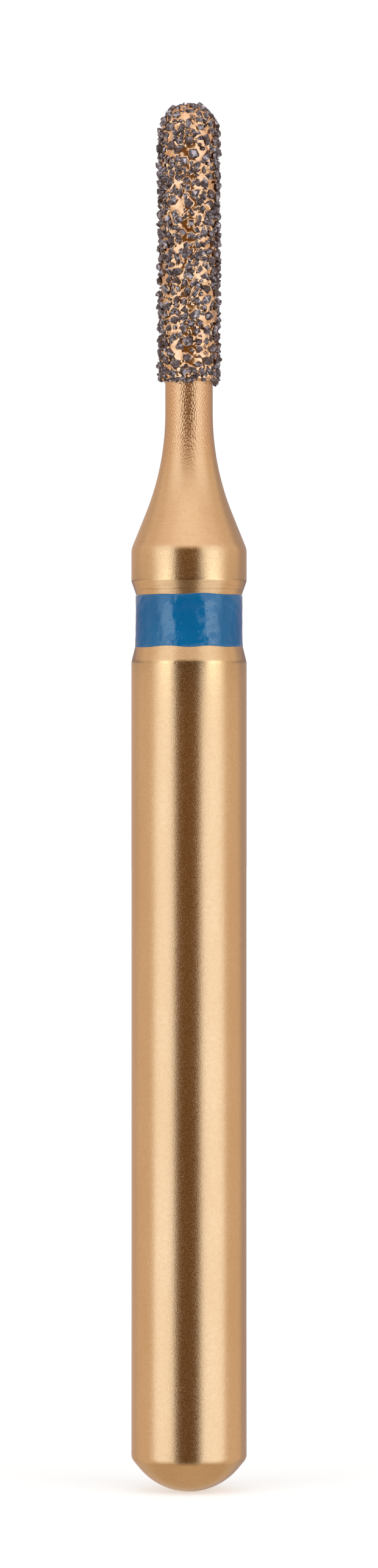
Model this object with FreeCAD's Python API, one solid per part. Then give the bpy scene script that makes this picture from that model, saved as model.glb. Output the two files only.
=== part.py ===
# A friction-grip dental bur with a round-ended cylindrical head that is set with diamond grit.
#
# It is made of four kinds of piece. The blank is turned from one steel rod: a domed shank for
# the chuck, a groove, a collar, a flared neck and the core of the head. A plated bond covers
# the core, and the diamond grains sit in it, each in its own pocket. A ring of lacquer in the
# groove marks the size of the grit.
#
# The bur stands on the Z axis with its head up, and the origin is the lowest point of the
# domed end. Sizes are in millimetres, and angles are in degrees.

import FreeCAD, Part

import itertools
import math
import os
import random

from FreeCAD import Vector

# Shank: the plain cylinder that the chuck grips, and its domed end
shank_diameter = 1.60
grip_length = 11.05
dome_radius = 0.89
dome_bevel_angle = 50.0  # the bevel between dome and shank, measured from level
shank_edge_rounding = 0.30

# Groove and the lacquer ring in it
groove_width = 1.124  # from the shank's upper corner to the collar's lower corner
groove_depth = 0.095
groove_taper = 0.002  # the floor lies this much deeper at its upper edge
lower_flank_angle = 14.0  # flank angles are measured from the axis
upper_flank_angle = 19.5
lacquer_thickness = 0.035
lacquer_bead = 0.008  # the lacquer is this much thicker at its lower edge
lacquer_bead_height = 0.20

# Collar, flare and neck
collar_length = 0.447
collar_edge_rounding = 0.15
shoulder_angle = 22.0  # half angle of the cone above the collar
flare_radius = 3.73
neck_diameter = 0.66
neck_length = 0.41

# Head: the blank's core, and the plated bond round it
head_length = 3.85
core_diameter = 0.67
core_step_height = 0.02
bond_thickness = 0.05
bond_skirt_height = 0.04
bond_lip = 0.012  # thickness of the bond at its lower edge
bond_panels = 15  # flat panels round the head, as plating between close grains is not truly round
dome_rows = 4  # rows of panels over the tip

# Diamond grit
grit_density = 49.0  # grains per square millimetre of bond
grain_length = (0.115, 0.205)
grain_slenderness = 0.60  # least width of a grain, as a share of its length
grain_gap = 0.004  # least distance between two grains at the bond
crown_gap = 0.022  # grains lie this much further apart at the very tip
cluster_share = 0.50  # share of the grains that lie close beside another one
grain_rise = (0.030, 0.066)  # height of a grain's top over the bond
grain_waist = (0.002, 0.018)  # height of a grain's widest corners over the bond
waist_corner_counts = (4, 5, 5)  # corners of a grain's widest outline, one of these by chance
top_corner_count = 3
pocket_floor = 0.008  # bond that is left under a grain
grit_seed = 41

# Values that follow from the sizes above
shank_radius = shank_diameter / 2
lower_groove_radius = shank_radius - groove_depth
upper_groove_radius = lower_groove_radius - groove_taper
neck_radius = neck_diameter / 2
core_radius = core_diameter / 2
bond_radius = core_radius + bond_thickness


def rise(run, angle):
    """Height gained along the axis by a flank that crosses run at angle from the axis."""
    return run / math.tan(math.radians(angle))


bevel_inner_radius = dome_radius * math.sin(math.radians(dome_bevel_angle))
bevel_low = dome_radius * (1 - math.cos(math.radians(dome_bevel_angle)))
grip_low = bevel_low + (shank_radius - bevel_inner_radius) * math.tan(math.radians(dome_bevel_angle))
grip_high = grip_low + grip_length
groove_floor_low = grip_high + rise(groove_depth, lower_flank_angle)
collar_low = grip_high + groove_width
groove_floor_high = collar_low - rise(shank_radius - upper_groove_radius, upper_flank_angle)
collar_high = collar_low + collar_length
flare_foot_radius = neck_radius + flare_radius * (1 - math.cos(math.radians(shoulder_angle)))
flare_low = collar_high + rise(shank_radius - flare_foot_radius, shoulder_angle)
neck_low = flare_low + flare_radius * math.sin(math.radians(shoulder_angle))
neck_high = neck_low + neck_length
head_low = neck_high + core_step_height
head_high = head_low + head_length
tip_centre = head_high - bond_radius
seat_low = head_low + bond_skirt_height


def at(radius, height):
    """A point of a turned outline."""
    return Vector(radius, 0, height)


def line(start, end):
    return Part.LineSegment(start, end).toShape()


def arc(centre, radius, start_angle, end_angle):
    """An arc of the outline, with its angles measured from the outward radial direction."""
    points = []
    for angle in (start_angle, (start_angle + end_angle) / 2, end_angle):
        turn = math.radians(angle)
        points.append(centre + at(radius * math.cos(turn), radius * math.sin(turn)))
    return Part.Arc(*points).toShape()


def chain(*points):
    """Straight edges from each point to the next."""
    return [line(a, b) for a, b in zip(points, points[1:])]


def rounded_chain(*corners):
    """Straight edges through corners that are each a point and the radius that rounds it."""
    edges = []
    start = corners[0][0]
    for (before, _), (corner, rounding), (after, _) in zip(corners, corners[1:], corners[2:]):
        back = (before - corner).normalize()
        ahead = (after - corner).normalize()
        half = back.getAngle(ahead) / 2
        reach = rounding / math.tan(half)
        edges.append(line(start, corner + back * reach))
        start = corner + ahead * reach
        if rounding:
            middle = (back + ahead).normalize() * (rounding / math.sin(half) - rounding)
            edges.append(Part.Arc(corner + back * reach, corner + middle, start).toShape())
    edges.append(line(start, corners[-1][0]))
    return edges


def turned(edges):
    """The solid that a closed outline makes when it turns once about the Z axis."""
    face = Part.Face(Part.Wire(edges))
    return face.revolve(Vector(0, 0, 0), Vector(0, 0, 1), 360)


def flat_face(corners):
    return Part.Face(Part.makePolygon([*corners, corners[0]]))


def closed_solid(faces):
    shell = Part.makeShell(faces)
    shell.sewShape()
    return Part.makeSolid(shell)


def make_blank():
    """The one turned piece: shank, groove, collar, flare, neck and head core."""
    outline = [arc(at(0, dome_radius), dome_radius, -90, dome_bevel_angle - 90)]
    outline += rounded_chain(
        (at(bevel_inner_radius, bevel_low), 0),
        (at(shank_radius, grip_low), 0),
        (at(shank_radius, grip_high), shank_edge_rounding),
        (at(lower_groove_radius, groove_floor_low), 0),
        (at(upper_groove_radius, groove_floor_high), 0),
        (at(shank_radius, collar_low), 0),
        (at(shank_radius, collar_high), collar_edge_rounding),
        (at(flare_foot_radius, flare_low), 0),
    )
    outline.append(arc(at(neck_radius + flare_radius, neck_low), flare_radius, 180 + shoulder_angle, 180))
    outline += chain(
        at(neck_radius, neck_low),
        at(neck_radius, neck_high),
        at(core_radius, head_low),
        at(core_radius, tip_centre),
    )
    outline.append(arc(at(0, tip_centre), core_radius, 0, 90))
    outline.append(line(at(0, tip_centre + core_radius), at(0, 0)))
    return turned(outline)


def make_ring():
    """The lacquer on the groove's floor, which reaches up both flanks and has a bead below."""
    lower_radius = lower_groove_radius + lacquer_thickness
    upper_radius = upper_groove_radius + lacquer_thickness
    bead_radius = lower_radius + lacquer_bead
    ring_low = grip_high + rise(shank_radius - bead_radius, lower_flank_angle)
    ring_high = collar_low - rise(shank_radius - upper_radius, upper_flank_angle)
    corners = (
        at(lower_groove_radius, groove_floor_low),
        at(bead_radius, ring_low),
        at(lower_radius, ring_low + lacquer_bead_height),
        at(upper_radius, ring_high),
        at(upper_groove_radius, groove_floor_high),
    )
    return turned(chain(*corners, corners[0]))


def panelled(outline):
    """The solid of flat panels that an outline makes round the axis, closed below its foot."""
    turns = [2 * math.pi * i / bond_panels for i in range(bond_panels)]
    rings = [[Vector(p.x * math.cos(t), p.x * math.sin(t), p.z) for t in turns] for p in outline]
    faces = [flat_face(rings[0])]
    for lower, upper in zip(rings, rings[1:]):
        for i in range(bond_panels):
            corners = [lower[i - 1], lower[i], upper[i]]
            if not upper[i].isEqual(upper[i - 1], 1e-6):
                corners.append(upper[i - 1])
            faces.append(flat_face(corners))
    return closed_solid(faces)


def make_plain_bond():
    """The plated layer on the head, before the core and the grains take their place in it."""
    outline = [at(core_radius + bond_lip, head_low), at(bond_radius, head_low + bond_skirt_height)]
    for i in range(dome_rows + 1):
        angle = math.pi / 2 * i / dome_rows
        outline.append(at(bond_radius * math.cos(angle), tip_centre + bond_radius * math.sin(angle)))
    return panelled(outline)


def make_core():
    """The part of the blank that the bond covers, with its rounded end."""
    outline = chain(
        at(0, tip_centre), at(0, head_low), at(core_radius, head_low), at(core_radius, tip_centre)
    )
    outline.append(arc(at(0, tip_centre), core_radius, 0, 90))
    outline.append(line(at(0, tip_centre + core_radius), at(0, tip_centre)))
    return turned(outline)


def seat_at(point):
    """The place on the bond nearest to point, with its outward, eastward and upward directions."""
    spine = Vector(0, 0, min(point.z, tip_centre))
    outward = (point - spine).normalize()
    east = Vector(0, 0, 1).cross(outward)
    east = east.normalize() if east.Length > 1e-6 else Vector(1, 0, 0)
    return spine + outward * bond_radius, outward, east, outward.cross(east)


def random_seat(chance):
    """A seat anywhere on the bond, as likely in one spot as in another."""
    # Bands of equal height hold equal areas, on the cylinder and on the half ball alike
    height = chance.uniform(seat_low, head_high)
    turn = chance.uniform(0, 2 * math.pi)
    sine = max(0.0, height - tip_centre) / bond_radius
    radius = bond_radius * math.sqrt(1 - sine * sine)
    return seat_at(Vector(radius * math.cos(turn), radius * math.sin(turn), height))


def neighbour_seat(chance, grain, distance):
    """A seat at that distance from a grain that has been placed, to any side of it."""
    turn = chance.uniform(0, 2 * math.pi)
    step = grain.east * math.cos(turn) + grain.up * math.sin(turn)
    return seat_at(grain.point + step * distance)


def oval(chance, count, width):
    """Uneven corners round an oval one long, as distances along it and across it."""
    corners = []
    for i in range(count):
        turn = 2 * math.pi * (i + chance.uniform(-0.28, 0.28)) / count
        reach = chance.uniform(0.86, 1.0) / 2
        corners.append((reach * math.cos(turn), reach * width * math.sin(turn)))
    return corners


class Grain:
    """One grain: its seat, its widest corners at the bond, its flat top and its pointed root."""

    def __init__(self, chance, seat):
        self.point, outward, east, up = seat
        lean = chance.uniform(0, math.pi)
        self.outward = outward
        self.east = east * math.cos(lean) + up * math.sin(lean)
        self.up = outward.cross(self.east)
        width = chance.uniform(grain_slenderness, 1.0)
        top_share = chance.uniform(0.40, 0.68)
        top_height = chance.uniform(*grain_rise)
        shift_x, shift_y = (chance.uniform(-0.10, 0.10) * width for _ in range(2))
        waist_corner_count = chance.choice(waist_corner_counts)
        self.waist_plan = [
            (x, y, chance.uniform(*grain_waist)) for x, y in oval(chance, waist_corner_count, width)
        ]
        self.top_plan = [
            (x * top_share + shift_x, y * top_share + shift_y, top_height * chance.uniform(0.72, 1.0))
            for x, y in oval(chance, top_corner_count, width)
        ]
        self.root_plan = [(shift_x, shift_y, pocket_floor - bond_thickness)]

    def grow(self, length):
        """Gives the grain that length, and all its corners their places."""
        self.length = length
        self.waist, self.top, self.root = (
            [
                self.point + self.east * (x * length) + self.up * (y * length) + self.outward * height
                for x, y, height in plan
            ]
            for plan in (self.waist_plan, self.top_plan, self.root_plan)
        )

    def gap(self):
        """The clear distance that this grain keeps from the next."""
        crown = max(0.0, (self.point.z - tip_centre) / bond_radius)
        return grain_gap + crown_gap * crown**2

    def flat(self, corners):
        """Corners seen square to this grain's seat."""
        offsets = [corner - self.point for corner in corners]
        return [(offset.dot(self.east), offset.dot(self.up)) for offset in offsets]

    def clear_of(self, other):
        """Whether a straight gap separates the two grains' outlines at the bond."""
        gap = self.gap()
        if self.point.distanceToPoint(other.point) > (self.length + other.length) / 2 + gap:
            return True
        mine = self.flat(self.waist)
        theirs = self.flat(other.waist)
        for outline, rest in ((mine, theirs), (theirs, mine)):
            for (ax, ay), (bx, by) in zip(outline, outline[1:] + outline[:1]):
                length = math.hypot(bx - ax, by - ay)
                nx, ny = (by - ay) / length, (ax - bx) / length
                edge = max(nx * x + ny * y for x, y in outline)
                if min(nx * x + ny * y for x, y in rest) >= edge + gap:
                    return True
        return False

    def solid(self):
        """The smallest convex solid that holds all the grain's corners."""
        corners = self.waist + self.top + self.root
        facets = []
        for i, j, k in itertools.combinations(range(len(corners)), 3):
            a, b, c = corners[i], corners[j], corners[k]
            normal = (b - a).cross(c - a)
            sides = [normal.dot(p - a) for n, p in enumerate(corners) if n not in (i, j, k)]
            if max(sides) < 0:
                facets.append((a, b, c))
            elif min(sides) > 0:
                facets.append((a, c, b))
        return closed_solid([flat_face(facet) for facet in facets])


class Neighbourhood:
    """Placed grains in cubes of one grain's length, so that only near ones are compared."""

    def __init__(self, size):
        self.size = size
        self.cubes = {}

    def cube(self, point):
        return tuple(math.floor(value / self.size) for value in point)

    def add(self, grain):
        self.cubes.setdefault(self.cube(grain.point), []).append(grain)

    def near(self, point):
        x, y, z = self.cube(point)
        for dx, dy, dz in itertools.product((-1, 0, 1), repeat=3):
            yield from self.cubes.get((x + dx, y + dy, z + dz), ())


def scatter_grains():
    """Places grains in loose clusters, each as large as its neighbours let it be."""
    chance = random.Random(grit_seed)
    smallest, largest = grain_length
    placed = Neighbourhood(largest + grain_gap + crown_gap)
    area = 2 * math.pi * bond_radius * (head_high - seat_low)
    wanted = round(grit_density * area)
    grains = []
    for _ in range(40 * wanted):
        if grains and chance.random() < cluster_share:
            seat = neighbour_seat(chance, chance.choice(grains), chance.uniform(smallest, largest))
        else:
            seat = random_seat(chance)
        if seat[0].z < seat_low:
            continue
        grain = Grain(chance, seat)
        length = chance.uniform(smallest, largest)
        while length >= smallest:
            grain.grow(length)
            if all(grain.clear_of(other) for other in placed.near(grain.point)):
                placed.add(grain)
                grains.append(grain)
                break
            length *= 0.93
        if len(grains) == wanted:
            break
    return grains


def main():
    os.makedirs("parts", exist_ok=True)
    grains = [grain.solid() for grain in scatter_grains()]
    bond = make_plain_bond().cut([make_core()] + grains)
    parts = {
        "turned_blank": make_blank(),
        "colour_ring": make_ring(),
        "bond_layer": bond,
        "diamond_grit": Part.makeCompound(grains),
    }
    for name, shape in parts.items():
        shape.exportStep(f"parts/{name}.step")
        print(name, "solids", len(shape.Solids), "volume", round(shape.Volume, 5))


main()
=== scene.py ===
import math
import random

import bmesh
import bpy
import numpy as np
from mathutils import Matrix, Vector


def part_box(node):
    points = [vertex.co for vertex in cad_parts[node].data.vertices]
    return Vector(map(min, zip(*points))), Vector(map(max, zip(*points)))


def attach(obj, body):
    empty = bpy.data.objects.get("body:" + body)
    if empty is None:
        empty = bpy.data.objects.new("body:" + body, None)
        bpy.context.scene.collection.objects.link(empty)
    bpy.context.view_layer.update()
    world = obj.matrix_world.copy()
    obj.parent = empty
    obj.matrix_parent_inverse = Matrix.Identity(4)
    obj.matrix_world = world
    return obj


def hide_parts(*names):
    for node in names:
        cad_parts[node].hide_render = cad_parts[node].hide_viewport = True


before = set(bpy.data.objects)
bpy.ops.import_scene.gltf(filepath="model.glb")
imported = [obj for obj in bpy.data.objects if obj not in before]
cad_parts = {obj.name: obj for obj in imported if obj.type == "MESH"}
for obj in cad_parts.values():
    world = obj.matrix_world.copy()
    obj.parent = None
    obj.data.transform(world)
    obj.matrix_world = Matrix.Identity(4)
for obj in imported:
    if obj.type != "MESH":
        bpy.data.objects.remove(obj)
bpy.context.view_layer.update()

# Lengths in the settings are millimetres, the scene itself is in metres
mm = 0.001

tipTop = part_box("diamond_grit")[1].z / mm
print("frame loaded, tip at", round(tipTop, 3), "mm")


# Mesh helpers

longWall = 0.12  # a longer wall gets one more row near each of its ends
nearEnd = 0.015
poleReach = 0.00002  # vertices this near the axis are merged
poleSpread = 4  # times that reach, so that a whole row becomes one


def smoothFaces(mesh):
    mesh.polygons.foreach_set("use_smooth", [True] * len(mesh.polygons))


def makePiece(name, vertices, faces):
    mesh = bpy.data.meshes.new(name)
    mesh.from_pydata((np.asarray(vertices) * mm).tolist(), [], faces)
    mesh.update()
    smoothFaces(mesh)
    piece = bpy.data.objects.new(name, mesh)
    bpy.context.scene.collection.objects.link(piece)
    return piece


def addFloats(piece, name, values, domain="POINT"):
    layer = piece.data.attributes.new(name, "FLOAT", domain)
    layer.data.foreach_set("value", np.asarray(values, dtype=np.float32))


def dress(piece, material, node):
    piece.data.materials.append(material)
    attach(piece, "root")
    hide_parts(node)


def splitLine(start, end, step):
    # the extra rows near the ends keep the shading of a long wall flat
    length = math.dist(start, end)
    count = max(1, math.ceil(length / step))
    shares = [i / count for i in range(count + 1)]
    if length > longWall:
        shares += [nearEnd / length, 1 - nearEnd / length]
    return [
        tuple(a + (b - a) * share for a, b in zip(start, end)) for share in sorted(set(shares))
    ]


def roundedOutline(corners, step, arcSteps):
    # each corner is a radius, a height and the rounding of its edge
    rows = []
    start = corners[0][:2]
    for before, corner, after in zip(corners, corners[1:], corners[2:]):
        point = np.array(corner[:2])
        back = np.array(before[:2]) - point
        ahead = np.array(after[:2]) - point
        back /= np.linalg.norm(back)
        ahead /= np.linalg.norm(ahead)
        half = math.acos(float(back @ ahead)) / 2
        rounding = corner[2]
        reach = rounding / math.tan(half)
        middle = back + ahead
        centre = point + middle / np.linalg.norm(middle) * rounding / math.sin(half)
        first, last = point + back * reach, point + ahead * reach
        rows += splitLine(start, tuple(first), step)
        turnA = math.atan2(*(first - centre)[::-1])
        turnB = math.atan2(*(last - centre)[::-1])
        sweep = (turnB - turnA + math.pi) % (2 * math.pi) - math.pi
        for i in range(1, arcSteps):
            turn = turnA + sweep * i / arcSteps
            rows.append((
                centre[0] + rounding * math.cos(turn), centre[1] + rounding * math.sin(turn)
            ))
        start = tuple(last)
    rows += splitLine(start, corners[-1][:2], step)
    return rows


def ringFaces(index):
    # quads between neighbouring rows, each row closed round the axis
    lower, upper = index[:-1], index[1:]
    return np.stack(
        [lower, np.roll(lower, -1, 1), np.roll(upper, -1, 1), upper], axis=2
    ).reshape(-1, 4).tolist()


def lathe(name, rows, segments, wave=None):
    # the seam of the UV map lies at the back, and u runs in millimetres round the wall
    rows = np.array(rows)
    around = np.arange(segments) * 2 * math.pi / segments
    turns = math.pi / 2 + around
    radii = np.repeat(rows[:, :1], segments, axis=1)
    heights = np.repeat(rows[:, 1:2], segments, axis=1)
    if wave:
        radii, heights = wave(radii, heights, turns)
    grid = np.stack([radii * np.cos(turns), radii * np.sin(turns), heights], axis=2)
    index = np.arange(len(rows) * segments).reshape(len(rows), segments)
    piece = makePiece(name, grid.reshape(-1, 3), ringFaces(index))
    step = 2 * math.pi / segments
    u = np.stack(
        [
            radii[:-1] * around, radii[:-1] * (around + step),
            radii[1:] * (around + step), radii[1:] * around,
        ],
        axis=2,
    )
    v = np.stack([heights[:-1], heights[:-1], heights[1:], heights[1:]], axis=2)
    layer = piece.data.uv_layers.new(name="wall")
    layer.data.foreach_set("uv", np.stack([u, v], axis=3).astype(np.float32).ravel())
    return piece


def closePoles(piece):
    # rows that shrink to the axis become one vertex each
    work = bmesh.new()
    work.from_mesh(piece.data)
    bmesh.ops.remove_doubles(
        work,
        verts=[v for v in work.verts if math.hypot(v.co.x, v.co.y) < poleReach * mm],
        dist=poleReach * mm * poleSpread,
    )
    bmesh.ops.recalc_face_normals(work, faces=work.faces)
    work.to_mesh(piece.data)
    work.free()


def sineField(chance, count, longest, shortest, dims):
    # a smooth seeded unevenness: a few plane waves of mixed direction and length
    waves = []
    for _ in range(count):
        direction = np.array([chance.gauss(0, 1) for _ in range(dims)])
        direction /= np.linalg.norm(direction)
        length = chance.uniform(shortest, longest)
        waves.append((direction * 2 * math.pi / length, chance.uniform(0, 2 * math.pi)))

    def height(points):
        total = sum(np.sin(points @ k + phase) for k, phase in waves)
        return total / math.sqrt(len(waves))

    return height


# Node helpers

def fill(tree, made, inputs):
    for key, value in (inputs or {}).items():
        if isinstance(value, bpy.types.NodeSocket):
            tree.links.new(value, made.inputs[key])
        else:
            made.inputs[key].default_value = value


def add(tree, kind, inputs=None, **settings):
    made = tree.nodes.new(kind)
    for key, value in settings.items():
        setattr(made, key, value)
    fill(tree, made, inputs)
    return made


def calc(tree, operation, a, b):
    return add(tree, "ShaderNodeMath", {0: a, 1: b}, operation=operation).outputs[0]


def remap(tree, value, low, high, toLow=0.0, toHigh=1.0):
    return add(
        tree,
        "ShaderNodeMapRange",
        {"Value": value, "From Min": low, "From Max": high, "To Min": toLow, "To Max": toHigh},
    ).outputs["Result"]


def mixColours(tree, factor, a, b):
    return add(
        tree, "ShaderNodeMix", {0: factor, 6: a, 7: b}, data_type="RGBA"
    ).outputs[2]


def placeInMm(tree):
    place = add(tree, "ShaderNodeTexCoord").outputs["Object"]
    return add(
        tree, "ShaderNodeVectorMath", {0: place, "Scale": 1 / mm}, operation="SCALE"
    ).outputs["Vector"]


def stretched(tree, vector, scale, turn=0.0):
    return add(
        tree,
        "ShaderNodeMapping",
        {"Vector": vector, "Rotation": (0, 0, math.radians(turn)), "Scale": scale},
    ).outputs["Vector"]


def bumpFrom(tree, height):
    return add(tree, "ShaderNodeBump", {"Height": height, "Distance": mm}).outputs["Normal"]


def makeGroup(name, inputs, outputs):
    tree = bpy.data.node_groups.new(name, "ShaderNodeTree")
    for label, kind in inputs:
        tree.interface.new_socket(label, in_out="INPUT", socket_type=kind)
    for label, kind in outputs:
        tree.interface.new_socket(label, in_out="OUTPUT", socket_type=kind)
    return tree, tree.nodes.new("NodeGroupInput").outputs, tree.nodes.new("NodeGroupOutput").inputs


def useGroup(tree, group, inputs):
    made = tree.nodes.new("ShaderNodeGroup")
    made.node_tree = group
    fill(tree, made, inputs)
    return made.outputs


def newMaterial(name):
    material = bpy.data.materials.new(name)
    material.use_nodes = True
    tree = material.node_tree
    return material, tree, tree.nodes["Principled BSDF"]


# Effects that several finishes share

effects = {
    "speckleDetail": 3.0,
    "speckleRoughness": 0.6,
    "speckleSpan": (0.35, 0.65),
    "driftDetail": 2.0,
    "driftSpan": (0.3, 0.7),
}


# Fine speckle, as a height in millimetres and as a mask
def speckleGroup():
    tree, given, result = makeGroup(
        "fineSpeckle",
        [("Per mm", "NodeSocketFloat"), ("Depth", "NodeSocketFloat")],
        [("Height", "NodeSocketFloat"), ("Mask", "NodeSocketFloat")],
    )
    noise = add(
        tree,
        "ShaderNodeTexNoise",
        {
            "Vector": placeInMm(tree),
            "Scale": given["Per mm"],
            "Detail": effects["speckleDetail"],
            "Roughness": effects["speckleRoughness"],
        },
    ).outputs["Fac"]
    centred = calc(tree, "SUBTRACT", noise, 0.5)
    tree.links.new(calc(tree, "MULTIPLY", centred, given["Depth"]), result["Height"])
    tree.links.new(remap(tree, noise, *effects["speckleSpan"]), result["Mask"])
    return tree


# Slow drift of a finish between two colours
def driftGroup():
    tree, given, result = makeGroup(
        "colourDrift",
        [
            ("Light", "NodeSocketColor"),
            ("Dark", "NodeSocketColor"),
            ("Per mm", "NodeSocketFloat"),
            ("Along", "NodeSocketFloat"),
        ],
        [("Colour", "NodeSocketColor"), ("Mask", "NodeSocketFloat")],
    )
    parts = add(tree, "ShaderNodeSeparateXYZ", {0: placeInMm(tree)}).outputs
    squeezed = add(
        tree,
        "ShaderNodeCombineXYZ",
        {0: parts["X"], 1: parts["Y"], 2: calc(tree, "MULTIPLY", parts["Z"], given["Along"])},
    ).outputs[0]
    noise = add(
        tree,
        "ShaderNodeTexNoise",
        {"Vector": squeezed, "Scale": given["Per mm"], "Detail": effects["driftDetail"]},
    ).outputs["Fac"]
    mask = remap(tree, noise, *effects["driftSpan"])
    tree.links.new(mixColours(tree, mask, given["Dark"], given["Light"]), result["Colour"])
    tree.links.new(mask, result["Mask"])
    return tree


speckle = speckleGroup()
drift = driftGroup()
print("shared effects ready")


def speckled(tree, piece):
    return useGroup(
        tree, speckle, {"Per mm": piece["specklePerMm"], "Depth": piece["speckleDepth"]}
    )


def drifted(tree, light, paintedShadow, piece):
    return useGroup(
        tree,
        drift,
        {"Light": light, "Dark": paintedShadow, "Per mm": piece["driftPerMm"], "Along": piece["driftAlong"]},
    )


# Turned blank

blank = {
    "segments": 288,
    "rowStep": 0.15,
    "cornerSteps": 7,
    "domeRadius": 0.89,
    "domeEnd": 50.0,
    "domeRows": 24,
    # radius, height and rounding, from the end of the dome to the start of the flare
    "corners": [
        (0.6818, 0.3179, 0.0),
        (0.8, 0.4588, 0.15),
        (0.8, 11.5088, 0.24),
        (0.705, 11.8898, 0.02),
        (0.703, 12.3589, 0.02),
        (0.8, 12.6328, 0.08),
        (0.8, 13.0798, 0.26),
        (0.6016, 13.5709, 0.0),
    ],
    "neckRadius": 0.33,
    "neckLow": 14.9681,
    "neckHigh": 15.3781,
    "neckStep": 0.1,
    "flareRadius": 3.73,
    "flareAngle": 22.0,
    "flareRows": 16,
    "coreRadius": 0.335,
    "coreLow": 15.3981,
    "coreTop": 18.863,
    "coreStep": 0.5,
    "coreRows": 10,
    "gold": (0.84, 0.57, 0.31, 1),
    "goldDark": (0.79, 0.52, 0.27, 1),
    "driftPerMm": 1.6,
    "driftAlong": 0.35,
    "goldMottle": (0.73, 0.45, 0.22, 1),
    "mottlePerMm": 20.0,
    "mottle": 0.45,
    "goldNeck": (0.86, 0.52, 0.27, 1),
    # painted shade for the hollows of the hatch and for the turning lines
    "goldPaintedShade": (0.40, 0.21, 0.10, 1),
    "specklePerMm": 66.0,
    "speckleDepth": 0.0013,
    "roughness": (0.165, 0.30),
    # turning lines with painted shade along them, and how strongly they show at each height
    "linesPerMm": 44.0,
    "lineDetail": 4.0,
    "lineRoughness": 0.7,
    "lineDepth": 0.0011,
    "linePaintedShade": 0.55,
    "lineShadeSpan": (0.48, 0.68),
    "breakStretch": (3.5, 30.0, 1),
    "breakDetail": 2.0,
    "breakSpan": (0.3, 0.7),
    "breakShift": 0.10,
    "lineHeights": (
        0, 0.3, 0.5, 11.4, 11.55, 12.2, 12.35, 12.5, 12.65, 13.0, 13.2, 14.9, 15.2, 20,
    ),
    "lineShares": (
        0.16, 0.16, 0.03, 0.03, 0.12, 0.25, 1.0, 0.9, 0.10, 0.06, 0.16, 0.12, 0.0, 0.0,
    ),
    # leathery hatch of the neck, with painted shade in its hollows
    "hatchCell": 0.046,
    "hatchScatter": 0.75,
    "hatchTurn": 38.0,
    "hatchStretch": (1.35, 0.8, 1),
    "hatchBendPerMm": 14.0,
    "hatchBend": (0.03, 0.03, 0.0),
    "hatchCrown": 0.35,
    "hatchDepth": 0.0021,
    "hatchPaintedShade": 0.46,
    "hatchShadeEnd": 0.6,
    "hatchHeights": (14.05, 14.5, 15.38),
    "hatchShares": (0.0, 0.85, 1.0),
}


def blankRows():
    rows = []
    dome, domeRows = blank["domeRadius"], blank["domeRows"]
    for i in range(domeRows + 1):
        turn = math.radians(blank["domeEnd"]) * i / domeRows
        rows.append((dome * math.sin(turn), dome * (1 - math.cos(turn))))
    rows += roundedOutline(blank["corners"], blank["rowStep"], blank["cornerSteps"])[1:]
    flare, flareRows = blank["flareRadius"], blank["flareRows"]
    centre = blank["neckRadius"] + flare
    for i in range(1, flareRows + 1):
        turn = math.radians(blank["flareAngle"]) * (1 - i / flareRows)
        rows.append((centre - flare * math.cos(turn), blank["neckLow"] - flare * math.sin(turn)))
    neckEnd = (blank["neckRadius"], blank["neckHigh"])
    rows += splitLine(rows[-1], neckEnd, blank["neckStep"])[1:]
    # the head's core, hidden under the bond
    core, top, coreRows = blank["coreRadius"], blank["coreTop"], blank["coreRows"]
    rows += splitLine((core, blank["coreLow"]), (core, top), blank["coreStep"])
    for i in range(1, coreRows + 1):
        turn = math.pi / 2 * i / coreRows
        rows.append((core * math.cos(turn), top + core * math.sin(turn)))
    return rows


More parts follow.
